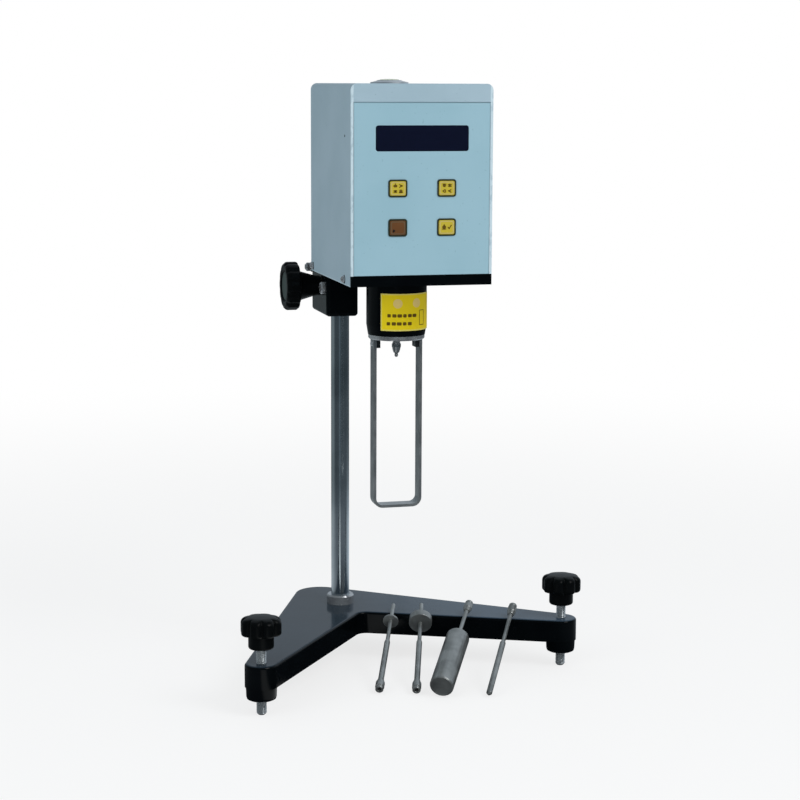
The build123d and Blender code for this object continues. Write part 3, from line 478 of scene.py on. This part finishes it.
def inlay(name, marks, place, look, body, low=0.0, high=0.12, rings=8, steps=56):
    # flat marks laid on a surface: each is u = cu + s a sgn(cos t)|cos t|^(2/n), v likewise with sin,
    # turned by its own angle, for s from 1 at the edge to almost 0; place(u, v, w) gives the point
    # at w above the surface, all in mm
    allPoints, allFaces, first = [], [], 0
    share = np.concatenate([[1.0], np.linspace(1.0, 0.02, rings)])[:, None]
    lift = np.full_like(share, high)
    lift[0] = low
    t = np.linspace(0, tau, steps, endpoint=False)[None, :]
    for centreU, centreV, halfU, halfV, power, turn in marks:
        u = share * halfU * np.sign(np.cos(t)) * np.abs(np.cos(t)) ** (2 / power)
        v = share * halfV * np.sign(np.sin(t)) * np.abs(np.sin(t)) ** (2 / power)
        c, s = cos(radians(turn)), sin(radians(turn))
        points = place(centreU + u * c - v * s, centreV + u * s + v * c, lift + 0 * t)
        points, faces = closeEnds(np.stack(points, -1) * mm)
        allPoints.append(points)
        allFaces += [tuple(corner + first for corner in face) for face in faces]
        first += len(points)
    publish(name, np.concatenate(allPoints), allFaces, look, body, soft=False)


neck = spot("neck_collar") / mm
collarLow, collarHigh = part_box("neck_collar")
collarRadius = (collarHigh.x - collarLow.x) / 2 / mm
labelLook = {"from": -45.0, "to": 85.0, "low": 280.7, "high": 309.6, "border": 1.0}
label = {key: collarRadius * radians(labelLook[key]) for key in ("from", "to")}


def onCollar(u, v, w):
    # u runs round the collar from its front, v is the height, w stands out from it
    angle, radius = u / collarRadius, collarRadius + w
    return neck[0] + radius * np.sin(angle), neck[1] - radius * np.cos(angle), v


def wrapped(name, inset, low, high, look):
    # a patch of the collar between two angles and two heights, as one closed loop of four rows
    u = np.linspace(label["from"] + inset, label["to"] - inset, 65)[None, :]
    bottom, top = labelLook["low"] + inset, labelLook["high"] - inset
    v = np.array([bottom, bottom, top, top])[:, None] + 0 * u
    w = np.array([low, high, high, low])[:, None] + 0 * u
    points = np.stack(onCollar(u + 0 * v, v, w), -1)
    count = points.shape[1]
    i, j = np.arange(4)[:, None], np.arange(count - 1)[None, :]
    quads = np.stack([i * count + j, i * count + j + 1, ((i + 1) % 4) * count + j + 1,
                      ((i + 1) % 4) * count + j], -1).reshape(-1, 4)
    ends = [(0, count, 2 * count, 3 * count), (4 * count - 1, 3 * count - 1, 2 * count - 1, count - 1)]
    faces = [tuple(quad) for quad in quads.tolist()] + ends
    publish(name, points.reshape(-1, 3) * mm, faces, look, "head", soft=False)


wrapped("collar_label", 0, -0.1, 0.08, printed["label_border"])
wrapped("collar_label_field", labelLook["border"], -0.05, 0.16, printed["label_yellow"])
inlay("collar_label_spots", [(-4.8, 302.0, 3.6, 3.6, 2, 0), (11.0, 302.2, 3.6, 3.6, 2, 0)], onCollar,
      printed["pale_ink"], "head", 0.05, 0.24)
dashes = []
for height, start, stop, count in ((292.6, -13.6, 11.0, 6), (286.4, -14.2, 6.9, 5)):
    pitch = (stop - start) / count
    dashes += [(start + pitch * (k + 0.5), height, pitch * (0.34 + 0.05 * (k % 3)), 1.3, 5, 0)
               for k in range(count)]
for centre, half in (((16.8, 296.3), (2.6, 0.28)), ((16.8, 284.9), (2.6, 0.28)),
                     ((14.2, 290.6), (0.28, 5.9)), ((19.4, 290.6), (0.28, 5.9))):
    dashes.append((*centre, *half, 6, 0))
inlay("collar_label_rules", dashes, onCollar, printed["legend_ink"], "head", 0.05, 0.22, 4, 24)
print("label made")

keyLook = {"halfU": 5.5, "halfV": 4.8, "border": 0.75, "corner": 8}
# each legend is a few bars and dots: (u, v, half width, half height, roundness, turn)
legends = {
    "upper_left": [(-2.1, 1.8, 1.5, 1.0, 3, 0), (-2.1, 3.0, 0.35, 0.9, 4, 0),
                   (1.7, 2.5, 1.2, 0.4, 4, -38), (1.7, 1.3, 1.2, 0.4, 4, 38), (2.7, 1.9, 0.8, 0.7, 3, 0),
                   (-2.1, -1.6, 1.4, 0.4, 4, 0), (-2.1, -2.6, 1.5, 0.45, 4, 0), (-2.1, -2.1, 0.5, 0.9, 4, 0),
                   (2.1, -1.9, 1.3, 1.2, 2, 0), (2.1, -3.0, 1.6, 0.4, 4, 0)],
    "upper_right": [(-2.1, 1.9, 1.3, 1.2, 2, 0), (-2.1, 3.0, 1.6, 0.35, 4, 0),
                    (2.1, 2.5, 1.5, 0.45, 4, 0), (2.1, 1.4, 1.5, 0.45, 4, 0), (2.1, 2.0, 0.45, 1.3, 4, 0),
                    (-2.5, -1.7, 1.2, 0.4, 4, 38), (-2.5, -2.6, 1.2, 0.4, 4, -38),
                    (-1.2, -2.1, 0.4, 1.2, 4, 0),
                    (2.1, -1.7, 1.4, 0.45, 4, 30), (2.1, -2.5, 1.5, 0.45, 4, -30)],
    "lower_left": [(-3.1, -2.4, 1.1, 0.6, 4, 35), (-3.3, -2.2, 0.5, 1.1, 4, 0)],
    "lower_right": [(-2.0, 0.2, 1.5, 1.3, 2, 0), (-2.0, 1.4, 0.4, 0.9, 4, 0), (-2.0, -1.3, 1.7, 0.4, 4, 0),
                    (1.5, -0.5, 1.1, 0.42, 4, -45), (2.6, 0.2, 1.9, 0.42, 4, 55)],
}
for side, legend in legends.items():
    key = f"key_{side}"
    middle, face = spot(key) / mm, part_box(key)[0].y / mm

    def onKey(u, v, w):
        return middle[0] + u, face - w + 0 * u, middle[2] + v

    brown = side == "lower_left"
    wide, tall, edge = keyLook["halfU"], keyLook["halfV"], keyLook["border"]
    inlay(f"{key}_border", [(0, 0, wide, tall, keyLook["corner"], 0)], onKey,
          printed["brown_border" if brown else "key_border"], key, -0.1, 0.03)
    inlay(f"{key}_field", [(0, 0, wide - edge, tall - edge, keyLook["corner"], 0)], onKey,
          finishes["key_brown" if brown else "key_yellow"], key, 0.0, 0.07)
    inlay(f"{key}_legend", legend, onKey, printed["dark_mark" if brown else "legend_ink"], key,
          0.02, 0.11, 3, 24)
print("keys made")


def axisOf(node, mouthRadius):
    # the line of a turned node: the long direction of its points, then the middles of its two ends;
    # the end whose rim is mouthRadius comes first. All in metres.
    mesh = frame["nodes"][node].data
    points = np.empty(len(mesh.vertices) * 3)
    mesh.vertices.foreach_get("co", points)
    points = np.unique(np.round(points.reshape(-1, 3), 7), axis=0)
    along = np.linalg.svd(points - points.mean(0), full_matrices=False)[2][0]
    height = points @ along
    ends = []
    for extreme in (height.min(), height.max()):
        rim = points[np.abs(height - extreme) < 0.06 * mm]
        middle = (rim.max(0) + rim.min(0)) / 2
        spread = np.linalg.norm(rim - middle, axis=1).max()
        ends.append((abs(spread - mouthRadius * mm), middle))
    ends.sort(key=lambda end: end[0])
    return ends[0][1], ends[1][1]


def knurled(crest, teeth, depth):
    # fine teeth only where the outline reaches its crest: r - depth * (1 - |cos(n a / 2)|)
    def swell(a, r, h):
        return r - depth * (r > crest - 0.02) * (1 - np.abs(np.cos(teeth * a / 2)))
    return swell


# radius and height in mm from the threaded mouth; the sleeve is common, the rest is each spindle's own
sleeveOutline = [(0.05, 6.8), (1.52, 6.8), (1.55, 0.5), (1.9, 0), (3.0, 0), (3.25, 0.4), (3.25, 1.9),
                 (2.95, 2.2), (2.95, 2.8), (3.6, 3.1), (3.6, 8.4), (3.3, 8.9), (2.9, 10.4), (2.55, 12)]
spindleOutlines = {
    "spindle_1": [(1.6, 12.1), (1.6, 46.2), (2.4, 46.3), (9.15, 48.9), (9.42, 49.5), (9.42, 113.9),
                  (8.7, 114.9), (7.9, 115), (7.6, 114.75), (0.05, 114.75)],
    "spindle_2": [(2.3, 12.6), (2.3, 60), (1.6, 63), (1.6, 84.5), (9.1, 84.6), (9.35, 84.9), (9.35, 91.1),
                  (9.1, 91.4), (1.6, 91.5), (1.6, 110), (0.85, 110.95), (0.05, 111)],
    "spindle_3": [(2.3, 12.6), (2.3, 60), (1.6, 63), (1.6, 87.1), (6.2, 87.15), (6.35, 87.35), (6.35, 88.65),
                  (6.2, 88.85), (1.6, 88.9), (1.6, 110), (0.85, 110.95), (0.05, 111)],
    "spindle_4": [(1.6, 12.3), (1.6, 45), (2.3, 47), (2.3, 106), (0.85, 107.9), (0.05, 108)],
}
sleeveLook = {"mouth": 3.2, "crest": 3.6, "teeth": 24, "toothDepth": 0.16, "round": 0.12}
for spindle, tail in spindleOutlines.items():
    mouth, end = axisOf(spindle, sleeveLook["mouth"])
    outline = eased(sleeveOutline + tail, sleeveLook["round"], steps=3)
    rings = turned(outline, mouth, end - mouth, 72,
                   knurled(sleeveLook["crest"], sleeveLook["teeth"], sleeveLook["toothDepth"]))
    publish(spindle + "_turned", *closeEnds(rings), finishes["spindle_steel"], spindle, [spindle],
            "spindle_steel")
print("spindles made")

couplingLook = {"pitch": 0.5, "from": 0.8, "to": 3.1, "threadCrest": 1.49, "threadDepth": 0.22,
                "crest": 3.6, "teeth": 30, "toothDepth": 0.14}
threadRows = np.arange(couplingLook["from"], couplingLook["to"], couplingLook["pitch"] / 2)
thread = [(couplingLook["threadCrest"] - couplingLook["threadDepth"] * (k % 2), float(row))
          for k, row in enumerate(threadRows)]
outline = [(0.05, 0), (0.75, 0), *thread, (1.35, 3.3), (2.2, 3.4), (2.95, 5.6), (3.35, 7.6), (3.6, 8.0),
           (3.6, 10.2), (3.35, 10.5), (2.8, 11.8), (2.8, 13.05), (2.1, 13.1)]
foot = np.array([*spot("spindle_coupling")[:2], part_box("spindle_coupling")[0].z])
teeth = knurled(couplingLook["crest"], couplingLook["teeth"], couplingLook["toothDepth"])
rings = turned(eased(outline, 0.1, steps=3), foot, steps=96, swell=teeth)
publish("coupling_turned", *closeEnds(rings), finishes["shaft_steel"], "measuring_shaft",
        ["spindle_coupling"], "shaft_steel")

lockLow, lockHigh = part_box("lock_screw")
lockMiddle = spot("lock_screw")
lockLength = (lockHigh.x - lockLow.x) / mm
lockLook = {"crest": 3.56, "teeth": 24, "toothDepth": 0.3}
outline = [(0.05, 0), (1.9, 0), (2.0, 0.2), (2.0, lockLength - 5), (3.2, lockLength - 5),
           (lockLook["crest"], lockLength - 4.6), (lockLook["crest"], lockLength - 1.4),
           (3.2, lockLength - 1.0), (2.4, lockLength - 0.8), (2.2, lockLength), (0.05, lockLength)]
rings = turned(eased(outline, 0.15, steps=3), (lockHigh.x, lockMiddle[1], lockMiddle[2]), (-1, 0, 0), 96,
               knurled(lockLook["crest"], lockLook["teeth"], lockLook["toothDepth"]))
publish("lock_screw_turned", *closeEnds(rings), finishes["bright_steel"], "lock_screw", ["lock_screw"],
        "bright_steel")
print("coupling and screws made")

coverSide = {"left": (coverLow.x / mm, -1), "right": (coverHigh.x / mm, 1)}
coverMarks = {"rowZ": coverLow.z / mm + 4.0, "plugZ": 431.5, "plugY": coverLow.y / mm + 19.9,
              "plug": 0.9, "seat": 3.3, "head": 2.3}
screwLow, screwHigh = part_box("housing_screws")
screwRows = (screwLow.y / mm + coverMarks["head"], screwHigh.y / mm - coverMarks["head"])
# radius and height of a round head with a socket in its top
screwDome = [(0.05, -0.3), (2.6, -0.3), (2.6, 1.6), (1.3, 2.7), (1.0, 2.7), (0.95, 1.9), (0.05, 1.9)]
for side, (wall, out) in coverSide.items():

    def onSide(u, v, w):
        return wall + out * w + 0 * u, out * u, v

    rows = [(out * row, coverMarks["rowZ"], coverMarks["seat"], coverMarks["seat"], 2, 0)
            for row in screwRows]
    inlay(f"cover_screw_seats_{side}", rows, onSide, printed["dark_mark"], "head", -0.1, 0.15)
    for place, row in zip(("front", "rear"), screwRows):
        dome = turned(eased(screwDome, [0, 0.2, 1.2, 0.8, 0.2, 0.1, 0], steps=4),
                      np.array([wall, row, coverMarks["rowZ"]]) * mm, (out, 0, 0), 48)
        publish(f"cover_screw_{place}_{side}", *closeEnds(dome), finishes["bright_steel"], "head")
    plug = (out * coverMarks["plugY"], coverMarks["plugZ"], coverMarks["plug"], coverMarks["plug"], 2, 0)
    inlay(f"cover_plug_{side}", [plug], onSide, printed["dark_mark"], "head", -0.1, 0.15)

vial = spot("level_vial") / mm
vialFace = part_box("level_vial")[1].z / mm - 0.9


def onVial(u, v, w):
    return vial[0] + u, vial[1] + v, vialFace + w


def ringOf(radius, centreU, halfU, halfV, power, count=16):
    # short marks set end to end round a circle
    return [(centreU + radius * cos(a), radius * sin(a), halfU, halfV, power, np.degrees(a))
            for a in np.arange(0, tau, tau / count)]


target = ringOf(5.2, 0, 0.22, 1.05, 4)
inlay("level_target", target, onVial, printed["dark_mark"], "head", 0.0, 0.08, 3, 16)
inlay("level_bubble", [(0.6, 0.9, 2.7, 2.5, 2, 0)], onVial, printed["bubble"], "head", -0.35, 0.1)

rockerLook = {"half": 6.5, "raisedSlope": 0.277, "pressedDrop": 1.5, "pressedSlope": 0.3 / 6.5, "mark": 3.6}
rocker = spot("power_rocker") / mm
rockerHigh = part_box("power_rocker")[1].y / mm


def onRocker(u, v, w):
    # both halves fall towards the pivot: the raised one from the top, the pressed one from below it
    raised = (u - rockerLook["half"]) * rockerLook["raisedSlope"]
    pressed = rockerLook["pressedSlope"] * (-u - rockerLook["half"]) - rockerLook["pressedDrop"]
    return rocker[0] - u, rockerHigh + np.where(u > 0, raised, pressed) + w, rocker[2] + v


inlay("rocker_bar", [(rockerLook["mark"], 0, 0.3, 1.6, 5, 0)], onRocker, printed["pale_ink"],
      "power_rocker", -0.15, 0.12, 3, 16)
inlay("rocker_ring", ringOf(1.3, -rockerLook["mark"], 0.26, 0.3, 3), onRocker, printed["pale_ink"],
      "power_rocker", -0.15, 0.12, 3, 12)
print("marks made")

bpy.context.view_layer.update()
cameraLook = {"eye": (-0.3881, -1.5332, 0.470), "heading": (0.2464, 0.9692), "dip": 0.157, "roll": 0.004,
              "lens": 90.0, "sensor": 36.0, "clip": (0.05, 200.0)}
heading = cameraLook["heading"]
# distances in metres from the middle of the floor: where each tone gives way to the next
floorLook = {"reach": 60.0, "near": 0.35, "far": 1.6, "share": 0.76, "back": (-0.2, 0.3), "side": (-0.4, 0.6),
             "closeToFar": (0.3, 0.9), "shadedToClose": (0.14, 0.28), "stripFade": (0.22, 0.6)}
# what polished surfaces mirror: dark in front but for a pale strip towards the camera, light behind,
# dimmer on the left; the floor is brighter near the object, and dark right under it
mirrorLook = {
    "sky": {"front": (0.09, 0.11, 0.12, 1), "strip": (0.14, 0.17, 0.19, 1), "left": (0.16, 0.19, 0.21, 1),
            "right": (0.50, 0.56, 0.62, 1)},
    "far": {"front": (0.045, 0.058, 0.066, 1), "strip": (0.10, 0.13, 0.15, 1), "left": (0.16, 0.19, 0.20, 1),
            "right": (0.07, 0.085, 0.095, 1)},
    "close": {"front": (0.14, 0.16, 0.18, 1), "strip": (0.96, 1.0, 1.0, 1), "left": (0.42, 0.46, 0.48, 1),
              "right": (0.60, 0.68, 0.74, 1)},
    "shaded": (0.012, 0.016, 0.02, 1), "foot": (-0.034, 0.060), "aside": -0.04, "half": 0.06, "soft": 0.12,
}
floorFinish = Finish("studio_floor")


def rays(finish, *kinds):
    # 1 for the named kinds of ray
    flags = [finish.add("ShaderNodeLightPath", {}, {}, f"Is {kind} Ray") for kind in kinds]
    total = flags[0]
    for flag in flags[1:]:
        total = finish.calc("MAXIMUM", total, flag)
    return total


def mirrorTone(finish, look, back, side):
    # back and side are the two coordinates' own limits between front and back, left and right
    behind = finish.mix(finish.step(finish.axis("X"), *side), look["left"], look["right"])
    return finish.mix(finish.step(finish.axis("Y"), *back), look["front"], behind)


def stripShare(finish, foot):
    # 1 where sideways / forwards, seen from the foot, is near the camera's bearing
    x, y = finish.axis("X") - foot[0], finish.axis("Y") - foot[1]
    sideways = x * heading[1] - y * heading[0]
    forwards = finish.calc("MAXIMUM", x * -heading[0] - y * heading[1], 0.01)
    return finish.near(finish.calc("DIVIDE", sideways, forwards), mirrorLook["aside"], mirrorLook["half"],
                       mirrorLook["soft"])


# the floor is a matt pale sheet near the object and fades to plain white further out
distance = floorFinish.add("ShaderNodeVectorMath", {"operation": "LENGTH"}, {0: floorFinish.place}, "Value")
away = floorFinish.step(distance, floorLook["near"], floorLook["far"])
white = rays(floorFinish, "Camera", "Transmission") * (
    floorLook["share"] + (1 - floorLook["share"]) * away)
matt = floorFinish.add("ShaderNodeBsdfDiffuse", {}, {"Color": (0.86, 0.87, 0.88, 1)})
lit = floorFinish.add("ShaderNodeEmission", {}, {"Color": (1, 1, 1, 1), "Strength": 1.0})
mixed = floorFinish.add("ShaderNodeMixShader", {}, {0: white, 1: matt, 2: lit})
tones = [mirrorTone(floorFinish, mirrorLook[key], floorLook["back"], floorLook["side"])
         for key in ("close", "far")]
tone = floorFinish.mix(floorFinish.step(distance, *floorLook["closeToFar"]), *tones)
tone = floorFinish.mix(floorFinish.step(distance, *floorLook["shadedToClose"]), mirrorLook["shaded"], tone)
strips = [mirrorLook[key]["strip"] for key in ("close", "far")]
strip = floorFinish.mix(floorFinish.step(distance, *floorLook["stripFade"]), *strips)
tone = floorFinish.mix(stripShare(floorFinish, mirrorLook["foot"]), tone, strip)
seen = floorFinish.add("ShaderNodeEmission", {}, {"Color": tone})
mixed = floorFinish.add("ShaderNodeMixShader", {}, {0: rays(floorFinish, "Glossy"), 1: mixed, 2: seen})
floorFinish.add("ShaderNodeOutputMaterial", {}, {"Surface": mixed})
reach = floorLook["reach"]
mesh = bpy.data.meshes.new("floor")
mesh.from_pydata([(-reach, -reach, 0), (reach, -reach, 0), (reach, reach, 0), (-reach, reach, 0)], [],
                 [(0, 1, 2, 3)])
mesh.materials.append(floorFinish.holder)
floor = bpy.data.objects.new("floor", mesh)
bpy.context.scene.collection.objects.link(floor)

skyLook = {"ambient": (0.92, 0.97, 1.0, 1), "level": 0.55, "back": (-0.35, 0.35), "side": (-0.5, 0.5)}
sky = Finish("studio_sky", world=True)
tone = mirrorTone(sky, mirrorLook["sky"], skyLook["back"], skyLook["side"])
tone = sky.mix(stripShare(sky, (0, 0)), tone, mirrorLook["sky"]["strip"])
mirrored = sky.add("ShaderNodeBackground", {}, {"Color": tone})
ambient = sky.add("ShaderNodeBackground", {}, {"Color": skyLook["ambient"], "Strength": skyLook["level"]})
plain = sky.add("ShaderNodeBackground", {}, {"Color": (1, 1, 1, 1), "Strength": 1.0})
around = sky.add("ShaderNodeMixShader", {}, {0: rays(sky, "Glossy"), 1: ambient, 2: mirrored})
final = sky.add("ShaderNodeMixShader", {}, {0: rays(sky, "Camera", "Transmission"), 1: around, 2: plain})
sky.add("ShaderNodeOutputWorld", {}, {"Surface": final})
bpy.context.scene.world = sky.holder

lamps = {
    "key": {"at": (0.9, -1.3, 1.5), "size": 0.9, "power": 14, "colour": (1.0, 1.0, 1.0)},
    "fill": {"at": (-1.5, -0.9, 0.9), "size": 1.2, "power": 7.4, "colour": (0.93, 0.98, 1.0)},
    "low": {"at": (-0.1, -1.5, 0.12), "size": 0.5, "power": 3, "colour": (1.0, 1.0, 0.98)},
}
aimAt = Vector((0.0, 0.0, 0.26))
for name, lamp in lamps.items():
    light = bpy.data.lights.new(name, "AREA")
    light.size, light.energy, light.color = lamp["size"], lamp["power"], lamp["colour"]
    holder = bpy.data.objects.new(name, light)
    holder.location = lamp["at"]
    holder.rotation_euler = (aimAt - holder.location).to_track_quat("-Z", "Y").to_euler()
    holder.visible_glossy = name == "key"
    bpy.context.scene.collection.objects.link(holder)

camera = bpy.data.cameras.new("camera")
camera.lens, camera.sensor_width = cameraLook["lens"], cameraLook["sensor"]
camera.clip_start, camera.clip_end = cameraLook["clip"]
eye = bpy.data.objects.new("camera", camera)
dip = cameraLook["dip"]
forward = Vector((heading[0] * cos(dip), heading[1] * cos(dip), -sin(dip)))
turn = forward.to_track_quat("-Z", "Y").to_matrix() @ Matrix.Rotation(cameraLook["roll"], 3, "Z")
eye.matrix_world = Matrix.Translation(cameraLook["eye"]) @ turn.to_4x4()
bpy.context.scene.collection.objects.link(eye)
bpy.context.scene.camera = eye
bpy.context.scene.view_settings.view_transform = "Standard"
print("studio made")
